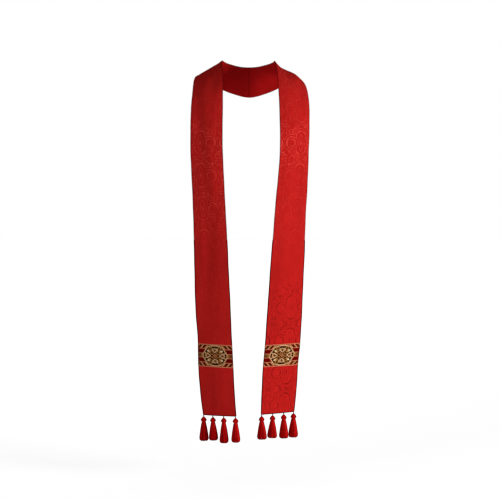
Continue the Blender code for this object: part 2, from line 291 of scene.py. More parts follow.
class Band:
    """The outer face of one half of the stole, as a smooth surface."""

    def __init__(self, side):
        self.side = side
        self.names = [row[0] for row in HANGS[side]]
        table = np.array([row[1:] for row in HANGS[side]]) / MM
        table[:, [0, 3]] = SIDES[side] * np.maximum(table[:, [0, 3]], SEAM_HALF_GAP)
        inner, outer, bow = table[:, :3], table[:, 3:6], table[:, 6:]
        steps = np.linalg.norm(np.diff((inner + outer) / 2, axis=0), axis=1)
        self.knots = np.concatenate([[0.0], np.cumsum(steps)])
        # Both edges cross the centre-back seam level and square to it, so the halves match there.
        self.inner = Track(self.knots, inner, (1.0, 0.0, 0.0))
        self.outer = Track(self.knots, outer, (1.0, 0.0, 0.0))
        self.bow = Track(self.knots, bow, 0.0)

    def distance_of(self, name):
        return self.knots[self.names.index(name)]

    def galloon_ends(self):
        return self.distance_of("galloon_top"), self.distance_of("galloon_foot")

    def ruled(self, distances, across):
        """Points on the straight section lines: array of (distance, across, xyz)."""
        share = np.asarray(across)[None, :, None]
        inner, outer = self.inner.at(distances), self.outer.at(distances)
        return inner[:, None, :] * (1 - share) + outer[:, None, :] * share

    def proud(self, distances, across, base):
        """How far the cloth stands off its section lines: bow, shoulder wave, folds, creases."""
        share = np.asarray(across)[None, :]
        offset = self.bow.at(distances) * 4 * share * (1 - share)
        near = (distances - self.distance_of("shoulder_ridge")) / SHOULDER_WAVE_REACH
        wave = SHOULDER_WAVE[self.side] * np.exp(-(near**2))[:, None]
        offset = offset - wave * np.sin(TURN * share)
        in_front = 1 / (1 + np.exp(base[..., 1] / FRONT_BLEND))
        folds = np.divide(FOLDS[self.side], FOLD_UNITS)
        for height, place, depth, half_length, half_width, drift in folds:
            along = base[..., 2] - height
            over = share - (place + drift * along)
            bump = np.exp(-((along / half_length) ** 2) - (over / half_width) ** 2)
            offset = offset + depth * bump * in_front
        return offset + self.creased(distances, share)

    def creased(self, distances, share):
        """The small creases, and the swing of the long edges."""
        down = np.asarray(distances)[:, None]
        offset = np.zeros(np.broadcast(down, share).shape)
        creases = np.divide(CREASES[self.side], CREASE_UNITS)
        for distance, place, depth, half_length, half_width, degrees in creases:
            over = (share - place) * USUAL_WIDTH
            length, width = turned(down - distance, over, degrees)
            ridge = depth * np.exp(-((length / half_length) ** 2))
            offset = offset + ridge / np.cosh(width / half_width) ** 2
        for edge, depth, wave_length, phase in np.divide(SWINGS[self.side], SWING_UNITS):
            nearness = (share if edge else 1 - share) ** SWING_FADE
            wave = np.sin(TURN * down / wave_length + phase)
            offset = offset + depth * wave * nearness
        return offset

    def normals(self, points_at, distances, across):
        """Unit normals, away from the wearer, by small differences."""
        share = np.asarray(across)
        ahead, behind = distances + NORMAL_STEP, distances - NORMAL_STEP
        along = points_at(ahead, share) - points_at(behind, share)
        over = points_at(distances, share + NORMAL_STEP) - points_at(distances, share - NORMAL_STEP)
        return unit(np.cross(along, over) * SIDES[self.side])

    def face(self, distances, across):
        """Points of the cloth's outer face."""
        base = self.ruled(distances, across)
        out = self.normals(self.ruled, distances, across)
        return base + out * self.proud(distances, across, base)[..., None]

    def sampled(self, distances, across):
        """The outer face's points and unit normals."""
        distances = np.asarray(distances, float)
        return self.face(distances, across), self.normals(self.face, distances, across)

    def widths(self, distances):
        ends = self.ruled(distances, [0.0, 1.0])
        return np.linalg.norm(ends[:, 1] - ends[:, 0], axis=1)


# ======== patterns, in millimetres
def add_node(tree, kind, inputs, **settings):
    """Adds a node to a tree, with what goes into its sockets."""
    node = tree.nodes.new(kind)
    for name, value in settings.items():
        setattr(node, name, value)
    fill_sockets(tree, node, inputs)
    return node


def fill_sockets(tree, node, inputs):
    """Puts a field, a node's output, a number or a colour into each socket named."""
    for name, source in inputs.items():
        if isinstance(source, Field):
            source = source.socket
        if isinstance(source, bpy.types.NodeSocket):
            tree.links.new(source, node.inputs[name])
        else:
            node.inputs[name].default_value = source


class Field:
    """A number that a material's nodes work out at each point of a surface."""

    def __init__(self, tree, socket):
        self.tree, self.socket = tree, socket

    def math(self, operation, *values):
        inputs = dict(enumerate(values))
        node = add_node(self.tree, "ShaderNodeMath", inputs, operation=operation)
        return Field(self.tree, node.outputs[0])

    def __add__(self, other):
        return self.math("ADD", self, other)

    def __sub__(self, other):
        return self.math("SUBTRACT", self, other)

    def __rsub__(self, other):
        return self.math("SUBTRACT", other, self)

    def __mul__(self, other):
        return self.math("MULTIPLY", self, other)

    def __truediv__(self, other):
        return self.math("DIVIDE", self, other)

    __radd__, __rmul__ = __add__, __mul__


def in_both(operation, on_arrays):
    """A function that works on node fields and on arrays alike."""

    def apply(*values):
        fields = [value for value in values if isinstance(value, Field)]
        return fields[0].math(operation, *values) if fields else on_arrays(*values)

    return apply


def array_ping_pong(values, scale):
    phase = np.mod(values, 2 * scale)
    return np.minimum(phase, 2 * scale - phase)


least = in_both("MINIMUM", np.minimum)
most = in_both("MAXIMUM", np.maximum)
absolute = in_both("ABSOLUTE", np.abs)
root = in_both("SQRT", np.sqrt)
sine = in_both("SINE", np.sin)
cosine = in_both("COSINE", np.cos)
angle_of = in_both("ARCTAN2", np.arctan2)
mirrored = in_both("PINGPONG", array_ping_pong)


def union(*shapes):
    return reduce(least, shapes)


def without(shape, hole):
    return most(shape, hole * -1.0)


def length_of(x, y):
    return root(x * x + y * y)


def disc(x, y, radius):
    """Signed distance to a disc's edge, under 0 inside, as all shapes here."""
    return length_of(x, y) - radius


def oval(x, y, half_x, half_y):
    return (length_of(x / half_x, y / half_y) - 1) * min(half_x, half_y)


def ring(x, y, radius, width):
    return outline(disc(x, y, radius), width)


def outline(shape, width):
    return absolute(shape) - width / 2


def leaf(x, y, half_length, half_width):
    """A pointed leaf along x: where two equal discs overlap."""
    radius = (half_length**2 + half_width**2) / (2 * half_width)
    return length_of(x, absolute(y) + (radius - half_width)) - radius


def crescent(x, y, radius, inner_radius, shift):
    """A disc less a smaller one that is shifted towards +x, so it is thick towards -x."""
    return without(disc(x, y, radius), disc(x - shift, y, inner_radius))


def turned(x, y, degrees):
    turn = math.radians(degrees)
    return x * math.cos(turn) + y * math.sin(turn), y * math.cos(turn) - x * math.sin(turn)


def petal_frame(x, y, petals):
    """Coordinates along and off the nearest of some petals' middle lines."""
    angle = mirrored(angle_of(y, x), math.pi / petals)
    radius = length_of(x, y)
    return radius * cosine(angle), radius * sine(angle)


def ink(shape, softness):
    """1 inside a shape, 0 outside, with a soft edge."""
    return within(0.5 - shape / softness)


def within(value, low=0.0, high=1.0):
    return most(least(value, high), low)


# -------- the damask's repeat
# Columns of medallions, with a rosette half a repeat away. A medallion is an upright spine with a
# ring on each side, drawn from its middle for x, y over 0 and mirrored to the other quarters.
# Numbers inside a figure are its own places and sizes.
REPEAT_X = 134.0
REPEAT_Y = 122.0
REPEAT_START = (24.0, 13.0)
RING_REACH = 38.0
RING_RADIUS = 24.0
SPINE_REACH = 26.0
SPINE_RADIUS = 21.0
HALO_DISTANCE = 6.2
HALO_WIDTH = 1.9
LEAFAGE_GAP = 9.6


def medallion(x, y):
    """A medallion's line work, and the distance from its outline."""
    body = disc(x - RING_REACH, y, RING_RADIUS)
    spine = disc(x, most(y - SPINE_REACH, 0.0), SPINE_RADIUS)
    hollow = disc(x, most(y - SPINE_REACH + 3.4, 0.0), SPINE_RADIUS - 2.8)
    rim = union(
        crescent(RING_REACH - x, y, RING_RADIUS, RING_RADIUS - 3.9, 3.1),
        most(without(spine, hollow), 0.8 - body),
    )
    curl = crescent(x - RING_REACH + 3.6, y - 1.8, 12.5, 10.0, 2.3)
    bud = union(leaf(y, x, 13.0, 2.4), outline(leaf(y, x, 33.0, 9.0), 1.5))
    return union(rim, curl, most(bud, 2.0 - body)), union(body, spine)


def leafage(x, y, bend):
    """What fills the ground between medallions: a rosette, a curl and leaves."""
    along, off = petal_frame(x, y, 5)
    rosette = outline(leaf(along - 12.4, off, 8.6, 5.0), 2.0)
    leaf_x, leaf_y = turned(mirrored(x + bend, 14.0) - 7.0, mirrored(y - bend, 11.0) - 5.5, 47)
    leaves = most(leaf(leaf_x, leaf_y, 7.2, 2.3), 22.0 - length_of(x, y))
    curl = crescent(33.0 - x, y - 3.0, 12.0, 9.6, 1.8)
    return union(rosette, most(leaves, 14.0 - length_of(x - 33.0, y - 3.0)), curl)


def damask_motif(x, y, bend):
    """Line work of a medallion, of a fine line round it, and of the leaves between."""
    half_x, half_y = REPEAT_X / 2, REPEAT_Y / 2
    cell_x, cell_y = mirrored(x, half_x), mirrored(y, half_y)
    own, edge = medallion(cell_x, cell_y)
    between = most(leafage(half_x - cell_x, half_y - cell_y, bend), LEAFAGE_GAP - edge)
    return union(own, between, outline(edge - HALO_DISTANCE, HALO_WIDTH))


# -------- the galloon's chart
GALLOON_HALF_X = 67.0
GALLOON_HALF_Y = 42.5
HEADING = 3.0
PANEL_LOW = 8.2
PANEL_HIGH = 24.2
BORDER_MIDDLE = 32.0
BORDER_SLANT = 0.9
BORDER_REPEAT = 17.6
BRAID_REPEAT = 19.0
RING_X = 50.5
RING_SLOPE = 56.0
RING_OVAL = (64.0, 37.0)
RING_ROUND = 6.0
RING_WIDTH = 3.0
MEDALLION_STRETCH = 1.08
LEAF_DEGREES = 35


def linear(value):
    """One sRGB number from 0 to 255 as linear light."""
    share = value / 255
    return share / 12.92 if share <= 0.04045 else ((share + 0.055) / 1.055) ** 2.4


def rgb(red, green, blue):
    return (linear(red), linear(green), linear(blue), 1.0)


WEDGE_BROWN = rgb(84, 8, 2)
DARK_BROWN = rgb(52, 11, 0)
BROWN = rgb(70, 34, 9)
MAROON = rgb(116, 5, 2)
ROSE_TAN = rgb(238, 144, 104)
TAN = rgb(214, 144, 88)
DEEP_TAN = rgb(198, 134, 72)
PALE_TAN = rgb(250, 194, 142)
LIGHT_GOLD = rgb(244, 214, 158)
OLIVE = rgb(172, 122, 58)


def galloon_threads(x, y):
    """The chart's figures in turn, each over those before it: shape, colour, and relief as a share
    of GALLOON_RELIEF. x runs along the galloon and y across it, from its middle. Both are over 0,
    and the other three quarters mirror this one."""
    # The fields beside the medallion, then slanting strokes, each with a vein
    middle = y - BORDER_MIDDLE
    slant = mirrored(x + BORDER_SLANT * middle + 2.0, BORDER_REPEAT / 2)
    strokes = slant * 0.75 - 2.6 + middle * middle * 0.012
    yield most(y - PANEL_HIGH, PANEL_LOW - y), MAROON, 0.15
    yield most(strokes, absolute(middle) - 7.0), TAN, 0.80
    yield most(slant - 1.1, absolute(middle) - 5.4), ROSE_TAN, 0.95
    # The fine lines that close the fields, two crossing strands, and the heading
    guards = union(outline(y - PANEL_HIGH - 0.8, 2.0), outline(y - PANEL_LOW + 0.8, 2.2))
    yield guards, ROSE_TAN, 0.90
    wave = 3.7 * sine(x * (TURN / BRAID_REPEAT) + 0.5)
    strands = union(outline(y - wave, 1.6), outline(y + wave, 1.6))
    yield most(strands, absolute(y) - (PANEL_LOW - 1.8)), OLIVE, 0.85
    yield GALLOON_HALF_Y - HEADING - y, ROSE_TAN, 1.00
    # The medallion's ground: an oval cut to a blunt point towards each end of the galloon
    slope = math.radians(RING_SLOPE)
    flank = (x - RING_X) * math.sin(slope) + y * math.cos(slope)
    rounded = most(oval(x, y, *RING_OVAL) + RING_ROUND, 0.0), most(flank + RING_ROUND, 0.0)
    ground = length_of(*rounded) - RING_ROUND
    yield ground, DARK_BROWN, 0.10
    yield ground + 5.0, BROWN, 0.35
    # Interlaced stems, and four lobed petals towards the ring's top, foot and sides
    u = x / MEDALLION_STRETCH
    stems = ring(u - 11.6, y - 10.0, 5.6, 2.5), ring(u - 16.0, y - 26.5, 5.4, 2.3)
    yield union(*stems, ring(u - 38.6, y - 5.4, 4.4, 2.0)), DEEP_TAN, 0.70
    upright = oval(u, y - 19.5, 5.6, 8.6), oval(u - 7.2, y - 22.0, 3.9, 5.4)
    level = oval(u - 25.5, y, 9.8, 5.6), oval(u - 28.8, y - 6.2, 5.8, 3.7)
    petals = union(*upright, *level)
    yield petals - 2.1, DARK_BROWN, 0.15
    yield petals, PALE_TAN, 0.90
    yield petals + 2.1, DEEP_TAN, 0.70
    slits = leaf(y - 20.0, u, 7.0, 2.2), leaf(u - 26.0, y, 7.8, 2.0)
    cuts = leaf(y - 22.0, u - 4.6, 5.0, 0.9), leaf(u - 28.0, y - 3.7, 5.6, 0.8)
    yield union(*slits, *cuts), DARK_BROWN, 0.30
    # Leaves on the diagonals, each with a shaded root, a sprig beside it and a light
    leaves = leaf(*turned(u - 21.4, y - 15.6, LEAF_DEGREES), 8.6, 4.5)
    leaves = union(leaves, disc(u - 35.2, y - 9.4, 2.5))
    yield leaves - 1.4, DARK_BROWN, 0.15
    yield leaves, TAN, 0.80
    roots = leaf(*turned(u - 18.6, y - 13.6, LEAF_DEGREES), 4.4, 2.0)
    yield union(roots, disc(u - 14.2, y - 27.6, 1.5)), OLIVE, 0.60
    lights = oval(*turned(u - 24.0, y - 17.4, LEAF_DEGREES), 4.4, 3.2)
    yield union(lights, disc(u - 35.4, y - 9.5, 1.7)), LIGHT_GOLD, 1.00
    # The flower in the middle, with its petals and eyes
    yield disc(x, y, 7.0), DARK_BROWN, 0.35
    along, off = petal_frame(x, y, 4)
    yield oval(along - 4.8, off, 3.3, 2.3), TAN, 0.85
    eyes = disc(most(x, y) - 9.8, least(x, y), 2.0), disc(x, y, 1.7)
    yield union(*eyes, disc(x - 5.4, y - 5.4, 1.6)), MAROON, 0.30
    # The ring round the ground, and the knots where the strands meet it
    yield outline(ground, RING_WIDTH), PALE_TAN, 1.00
    knots = leaf(y, x - RING_X - 0.5, 6.2, 3.4), leaf(x - RING_X + 0.8, y, 7.0, 2.6)
    yield union(*knots), OLIVE, 0.95


def galloon_relief(x, y):
    """The height of the woven figure, as a share of GALLOON_RELIEF, on arrays."""
    height = np.zeros(x.shape)
    for shape, _, relief in galloon_threads(np.abs(x), np.abs(y)):
        cover = ink(shape, 0.9)
        height = height * (1 - cover) + relief * cover
    return height


# ======== cloth pieces
def round_edge(distance, radius):
    """How thick an edge is at a distance from it, as a share: a quarter circle."""
    inside = np.clip(1 - distance / radius, 0, 1)
    return np.sqrt(np.clip(1 - inside**2, 0, 1))


def smooth_step(values, start, end):
    share = np.clip((values - start) / (end - start), 0, 1)
    return share * share * (3 - 2 * share)


def step_at(values, middle, half_blend):
    return smooth_step(values, middle - half_blend, middle + half_blend)


def from_long_edges(across, width):
    return np.minimum(across, 1 - across)[None, :] * width


def lines_between(first, last, step, near_first, near_last):
    """Mesh lines from one border to the other, closer together near each border."""
    low, high = first + near_first[-1], last - near_last[-1]
    count = max(2, round((high - low) / step))
    middle = np.linspace(low, high, count + 1)[1:-1]
    ends = [last - mark for mark in reversed(near_last)]
    return np.array([first + mark for mark in near_first] + list(middle) + ends)


def lines_across(step, edge_lines):
    """Mesh lines across a band, as shares of its width."""
    marks = [mark / USUAL_WIDTH for mark in edge_lines]
    return lines_between(0.0, 1.0, step / USUAL_WIDTH, marks, marks)


def store(mesh, name, values):
    """Stores a number or a vector for each point."""
    kind, key = ("FLOAT_VECTOR", "vector") if values.ndim == 2 else ("FLOAT", "value")
    attribute = mesh.attributes.new(name, kind, "POINT")
    attribute.data.foreach_set(key, values.astype(np.float32).ravel())


def new_mesh(name, points, faces):
    mesh = bpy.data.meshes.new(name)
    mesh.from_pydata(points, [], faces)
    mesh.update()
    return mesh


def new_object(name, data):
    obj = bpy.data.objects.new(name, data)
    bpy.context.scene.collection.objects.link(obj)
    return obj


def smooth_object(name, mesh, *materials):
    for material in materials:
        mesh.materials.append(material)
    mesh.shade_smooth()
    return new_object(name, mesh)


def shell_mesh(name, outer, inner, fields):
    """A closed shell from two grids of points with one border. fields are stored alike on both."""
    rows, columns = outer.shape[:2]
    outer_number = np.arange(rows * columns).reshape(rows, columns)
    inner_number = outer_number.copy()
    inner_count = (rows - 2) * (columns - 2)
    inner_number[1:-1, 1:-1] = rows * columns + np.arange(inner_count).reshape(rows - 2, -1)
    points = np.concatenate([outer.reshape(-1, 3), inner[1:-1, 1:-1].reshape(-1, 3)])

    def quads(grid):
        corners = (grid[:-1, :-1], grid[:-1, 1:], grid[1:, 1:], grid[1:, :-1])
        return np.stack(corners, axis=-1).reshape(-1, 4)

    faces = np.concatenate([quads(outer_number), quads(inner_number)[:, ::-1]])
    mesh = new_mesh(name, points.tolist(), faces.tolist())
    for field, values in fields.items():
        stored = np.zeros((len(points), *values.shape[2:]))
        stored[outer_number] = values
        stored[inner_number] = values
        store(mesh, field, stored)
    return mesh


def cloth_place(x, y):
    """Where each point lies on the flat cloth, in millimetres."""
    return np.stack(np.broadcast_arrays(x, y, 0.0), axis=-1)


def finish_shell(mesh, band, across, along, strips, hidden_strips, seen):
    """Turns a left shell's faces outward and adds the bake map: the outer face in strips over the
    seen share of the image, and the inner face over the rest."""
    if band.side == "left":
        mesh.flip_normals()
    rows, columns = len(along), len(across)
    vertex = np.empty(len(mesh.loops), np.int32)
    mesh.loops.foreach_get("vertex_index", vertex)
    face = np.arange(len(vertex)) // 4
    cells = (rows - 1) * (columns - 1)
    inner_number = vertex - rows * columns
    on_outer = inner_number < 0
    row = np.where(on_outer, vertex // columns, inner_number // (columns - 2) + 1)
    column = np.where(on_outer, vertex % columns, inner_number % (columns - 2) + 1)
    run = (along - along[0]) / (along[-1] - along[0])
    middle = (run[1:] + run[:-1])[face % cells // (columns - 1)] / 2
    hidden = face >= cells
    count = np.where(hidden, hidden_strips, strips)
    strip = (middle * count).astype(int)
    inside = 1 - 2 * MAP_MARGIN
    over = (strip + MAP_MARGIN + inside * across[column]) / count
    over = np.where(hidden, seen + (1 - seen) * over, seen * over)
    down = MAP_MARGIN + inside * (run[row] * count - strip)
    layer = mesh.uv_layers.new(name=BAKE_MAP, do_init=False)
    layer.uv.foreach_set("vector", np.stack([over, down], axis=-1).astype(np.float32).ravel())


def half_thickness(band, distances, across):
    """How far the two faces stand from the wall's middle, and where the lining is."""
    down = distances[:, None]
    from_side = from_long_edges(across, band.widths(distances)[:, None])
    from_hem = band.knots[-1] - down
    edge = np.minimum(from_side, np.minimum(from_hem, down + SEAM_OVERLAP))
    thickness = HALF_WALL * round_edge(edge, HALF_WALL)
    allowance = 1 - step_at(from_side, SEAM_ALLOWANCE, ALLOWANCE_BLEND)
    ridge = ALLOWANCE_RIDGE * allowance * smooth_step(edge, 0.0, RIDGE_START)
    lined = step_at(from_side, TURNED_EDGE, TURNING_BLEND)
    lined = lined * step_at(from_hem, HEM_TURNING, TURNING_BLEND)
    step = LINING_STEP * (1 - lined) * round_edge(edge, HALF_WALL)
    return thickness + ridge, thickness - step, lined


def rounded_corners(points, band, distances, across):
    """Draws the hem's two corners in along a small arc."""
    width = band.widths(distances)[:, None]
    from_hem = band.knots[-1] - distances[:, None]
    down = unit(points[-1] - points[-2])
    over = unit(points[:, -1] - points[:, 0])
    for share, sign in ((across[None, :], 1), (1 - across[None, :], -1)):
        a = np.clip(1 - share * width / CORNER_RADIUS, 0, 1)
        b = np.clip(1 - from_hem / CORNER_RADIUS, 0, 1)
        pull_in = a - a * np.sqrt(1 - b**2 / 2)
        pull_up = b - b * np.sqrt(1 - a**2 / 2)
        points = points + sign * CORNER_RADIUS * pull_in[..., None] * over[:, None]
        points = points - CORNER_RADIUS * pull_up[..., None] * down[None, :]
    return points


def make_half(band, damask, lining):
    """One half: damask turned round its edges, and a lining set a little inside them."""
    across = lines_across(COLUMN_STEP, EDGE_LINES)
    first, last = -SEAM_OVERLAP, band.knots[-1]
    distances = lines_between(first, last, ROW_STEP, EDGE_LINES, EDGE_LINES + HEM_LINES)
    points, out = band.sampled(distances, across)
    points = rounded_corners(points, band, distances, across)
    outer_part, inner_part, lined = half_thickness(band, distances, across)
    middle = points - out * HALF_WALL
    width, down = band.widths(distances)[:, None], distances[:, None]
    # Distance to the nearest edge or to the seam, for the painted shade along them
    near = np.minimum(from_long_edges(across, width), last - down)
    near = np.minimum(near, (down + SEAM_OVERLAP) * SEAM_SHADE) * MM
    fields = {
        "cloth_place": cloth_place((across - 0.5) * width * MM, down * MM + CLOTH_SHIFT[band.side]),
        "edge_near": near,
        "painted_figure_sheen": np.interp(down, *PAINTED_FIGURE_SHEEN[band.side]),
    }
    outer = middle + out * outer_part[..., None]
    inner = middle - out * inner_part[..., None]
    name = f"damask_half_{band.side}"
    mesh = shell_mesh(name, outer, inner, fields)
    obj = smooth_object(name, mesh, damask, lining)
    cell_lined = np.minimum(lined[:-1, :-1], lined[1:, 1:]) > 0.5
    slots = np.concatenate([np.zeros(cell_lined.size), cell_lined.ravel()]).astype(np.int32)
    mesh.polygons.foreach_set("material_index", slots)
    finish_shell(mesh, band, across, distances, 3, 2, 0.75)
    return obj


def make_galloon(band, material):
    """The woven band, turned under at its ends, with its figure standing up a little."""
    first, last = band.galloon_ends()
    across = lines_across(GALLOON_STEP, GALLOON_LINES)
    distances = lines_between(first, last, GALLOON_STEP, GALLOON_LINES, GALLOON_LINES)
    points, out = band.sampled(distances, across)
    x = (across[None, :] - 0.5) * 2 * GALLOON_HALF_X
    y = ((distances - first) / (last - first) - 0.5)[:, None] * 2 * GALLOON_HALF_Y
    x, y = np.broadcast_arrays(x, y)
    from_end = np.minimum(distances - first, last - distances)[:, None]
    from_side = from_long_edges(across, band.widths(distances)[:, None])
    rise = round_edge(np.minimum(from_side, from_end), GALLOON_EDGE_RADIUS)
    relief = galloon_relief(x, y) * GALLOON_RELIEF * rise
    share = GALLOON_EDGE_SHARE
    top = LAY_GAP / 2 + GALLOON_WALL * (share + (1 - share) * rise) + relief
    foot = LAY_GAP / 2 + GALLOON_WALL * share * (1 - rise)
    outer, inner = points + out * top[..., None], points + out * foot[..., None]
    name = f"woven_galloon_{band.side}"
    mesh = shell_mesh(name, outer, inner, {"cloth_place": cloth_place(x, y)})
    obj = smooth_object(name, mesh, material)
    finish_shell(mesh, band, across, distances, 1, 1, 0.94)
    return obj


# ======== threads
def tubes(paths, radii, across, sides):
    """Closed tubes along paths (tube, step, xyz), with across as a direction beside each step."""
    along = unit(np.gradient(paths, axis=1))
    first = unit(np.cross(along, across))
    second = np.cross(along, first)
    turn = np.arange(sides) * TURN / sides
    rings = first[:, :, None] * np.cos(turn)[:, None] + second[:, :, None] * np.sin(turn)[:, None]
    points = paths[:, :, None] + rings * radii[:, :, None, None]
    count, steps = paths.shape[:2]
    number = np.arange(count * steps * sides).reshape(count, steps, sides)
    after = np.roll(number, -1, axis=2)
    walls = np.stack([number[:, :-1], after[:, :-1], after[:, 1:], number[:, 1:]], axis=-1)
    caps = [*number[:, 0, ::-1].tolist(), *number[:, -1].tolist()]
    return points.reshape(-1, 3), walls.reshape(-1, 4).tolist() + caps


class Bundle:
    """Collects tubes into one mesh, each with a tone of its own and its length along it."""

    def __init__(self):
        self.points, self.faces, self.tones, self.lengths = [], [], [], []
        self.count = 0

    def add(self, paths, radii, across, sides, tones):
        """Adds one path or several. The rest may be given once for all tubes or steps."""
        paths = paths.reshape(-1, *paths.shape[-2:])
        radii = np.broadcast_to(radii, paths.shape[:2])
        points, faces = tubes(paths, radii, np.broadcast_to(across, paths.shape), sides)
        self.points.append(points)
        self.faces.extend([[number + self.count for number in face] for face in faces])
        tones = np.broadcast_to(tones, len(paths))
        self.tones.append(np.repeat(tones, paths.shape[1] * sides))
        steps = np.linalg.norm(np.diff(paths, axis=1), axis=2)
        run = np.concatenate([np.zeros((len(paths), 1)), np.cumsum(steps, axis=1)], axis=1)
        self.lengths.append(np.repeat(run.ravel(), sides))
        self.count += len(points)

    def make(self, name, material):
        mesh = new_mesh(name, np.concatenate(self.points).tolist(), self.faces)
        store(mesh, "thread_tone", np.concatenate(self.tones))
        store(mesh, "thread_length", np.concatenate(self.lengths) * MM)
        return smooth_object(name, mesh, material)


def make_stitches(band, material):
    """The machine stitches that hold a galloon along its two long edges."""
    first, last = band.galloon_ends()
    bundle = Bundle()
    steps = np.linspace(0, 1, 6)
    lift = LAY_GAP / 2 + GALLOON_WALL + GALLOON_RELIEF
    arch = lift - STITCH_SINK + STITCH_ARCH * np.sin(math.pi * steps) ** STITCH_ROUNDNESS
    for distance, tone in ((first + STITCH_INSET, 0.5), (last - STITCH_INSET, 0.6)):
        width = band.widths(np.array([distance]))[0]
        count = int((width - 2 * STITCH_INSET) / STITCH_PITCH)
        start = (width - count * STITCH_PITCH) / 2
        over = start + STITCH_PITCH * np.arange(count)[:, None] + STITCH_LENGTH * steps[None, :]
        points, out = band.sampled([distance], (over / width).ravel())
        paths = (points[0] + out[0] * np.tile(arch, count)[:, None]).reshape(count, len(steps), 3)
        bundle.add(paths, STITCH_RADIUS, out[0].reshape(paths.shape), STITCH_SIDES, tone)
    return bundle.make(f"galloon_stitches_{band.side}", material)


def make_slip_stitches(band, material):
    """The slanting hand stitches that hold the lining inside the two long edges."""
    bundle = Bundle()
    steps = np.linspace(0, 1, 4)
    count = int(band.knots[-1] / SLIP_PITCH) - 3
    along = np.tile(steps, count)
    down = np.repeat(SLIP_PITCH * (np.arange(count) + 1), len(steps)) + SLIP_SLANT * along
    inset = TURNED_EDGE + SLIP_REACH * (along - 0.5)
    depth = WALL - LINING_STEP * (1 - along) + SLIP_RISE * np.sin(math.pi * along)
    for edge in (0, 1):
        share = np.abs(edge - inset / band.widths(down))
        marks = np.array([share.min(), share.max()])
        points, out = band.sampled(down, marks)
        blend = ((share - marks[0]) / (marks[1] - marks[0]))[:, None]
        place = points[:, 0] * (1 - blend) + points[:, 1] * blend - out[:, 0] * depth[:, None]
        paths = place.reshape(count, len(steps), 3)
        bundle.add(paths, SLIP_RADIUS, out[:, 0].reshape(paths.shape), STITCH_SIDES, 0.5)
    return bundle.make(f"lining_stitches_{band.side}", material)


# -------- tassels
# Depths are under the hem. The crown's threads go from the cord over the ruff to the neck.
CROWN_DEPTHS = (0.0068, 0.0085, 0.0107, 0.0137, 0.0167, 0.0189, 0.0206, 0.0222, 0.0240, 0.0262)
CROWN_RADII = (0.0009, 0.0025, 0.0050, 0.0073, 0.0086, 0.0089, 0.0081, 0.0066, 0.0057, 0.0056)
CROWN_THREADS = 44
CROWN_THREAD_RADIUS = 0.00062
# How far round a crown thread strays, in radians
CROWN_STRAY = 0.04
# Where the ruff's threads flare, as a share of their length, and the most that they flare
RUFF_MIDDLE = 0.55
RUFF_REACH = 0.14
RUFF_FLARE = (-0.0007, 0.0011)
NECK_RADIUS = 0.0058
NECK_TOP = 0.0222
NECK_FOOT = 0.0268
BINDING_TURNS = 6
BINDING_RADIUS = 0.00045
BINDING_INSET = 0.0004
CORD_PLY_RADIUS = 0.00074
CORD_PLY_REACH = 0.82
CORD_TOP = 0.0016
CORD_TAPERED = 0.0012
CORD_TUCK = 0.0012
CORD_TWISTS = 2.6
# Layers of the skirt: share of the outer radius, threads and thread radius
SKIRT_LAYERS = ((1.0, 168, 0.00046), (0.90, 112, 0.00050), (0.74, 64, 0.00060))
# How far the skirt has spread, at shares of its depth
SKIRT_SPREAD = (0.0, 0.12, 0.42, 0.70, 0.88, 0.94, 1.0), (0.0, 0.20, 0.57, 0.83, 1.0, 0.97, 0.82)
# Locks of threads: how many there are round the skirt, and how far they stand out
SKIRT_LOCKS = ((5, 0.022), (11, 0.014))
# How much thinner a skirt thread ends, and from what share of its length
THREAD_TAPER = 0.45
TAPER_START = 0.93
# How far a skirt thread strays out, in metres, and round, in radians, and how it ripples
STRAY_OUT = 0.00022
STRAY_ROUND = 0.030
RIPPLE = 0.018
RIPPLE_WAVES = 9
THREAD_LENGTHS = (0.984, 1.0)
# The tone's wave round the skirt and its spread from thread to thread
TONE_LOCKS = 7
TONE_WAVE = 0.22
TONE_SPREAD = 0.25
# The inside of skirt and head, which no light comes through, as shares of their radius
SKIRT_CORE = 0.62
HEAD_CORE = 0.88
CORE_SIDES = 20


def at_reach(turn, reach, depth):
    """Points at an angle round a tassel's axis, a reach from it and a depth down it."""
    parts = np.broadcast_arrays(reach * np.cos(turn), reach * np.sin(turn), -depth)
    return np.stack(parts, axis=-1)


def beside(turn):
    """Directions square to those out from the axis."""
    return np.stack([-np.sin(turn), np.cos(turn), np.zeros_like(turn)], axis=-1)


def twisted_cord(bundle):
    """Two plies wound round each other, from inside the hem to the crown."""
    steps = np.linspace(0, 1, 26)
    depth = -CORD_TOP + (CORD_DROP + CORD_TOP + CORD_TUCK) * steps
    taper = smooth_step(depth, -CORD_TOP, CORD_TAPERED)
    reach = CORD_PLY_RADIUS * CORD_PLY_REACH * (0.45 + 0.55 * taper)
    radii = CORD_PLY_RADIUS * (0.62 + 0.38 * taper)
    for ply in range(2):
        turn = TURN * CORD_TWISTS * steps + math.pi * ply
        across = at_reach(turn, 1.0, 0.0)
        bundle.add(at_reach(turn, reach, depth), radii, across, 7, -0.55 - 0.1 * ply)


def crown(bundle, rng):
    """Threads that fall from the cord over the ruff and go in under the binding."""
    angles = np.arange(CROWN_THREADS) * TURN / CROWN_THREADS
    angles = (angles + rng.uniform(-CROWN_STRAY, CROWN_STRAY, CROWN_THREADS))[:, None]
    share = np.linspace(0, 1, 19)
    knots = np.linspace(0, 1, len(CROWN_DEPTHS))
    ruff = np.exp(-(((share - RUFF_MIDDLE) / RUFF_REACH) ** 2))
    flare = rng.uniform(*RUFF_FLARE, CROWN_THREADS)[:, None]
    reach = np.interp(share, knots, CROWN_RADII) + ruff * flare
    paths = at_reach(angles, reach, np.interp(share, knots, CROWN_DEPTHS))
    radii = CROWN_THREAD_RADIUS * (0.55 + 0.45 * smooth_step(share, 0.0, 0.45))
    bundle.add(paths, radii, beside(angles), 5, rng.uniform(0.2, 0.8, CROWN_THREADS))


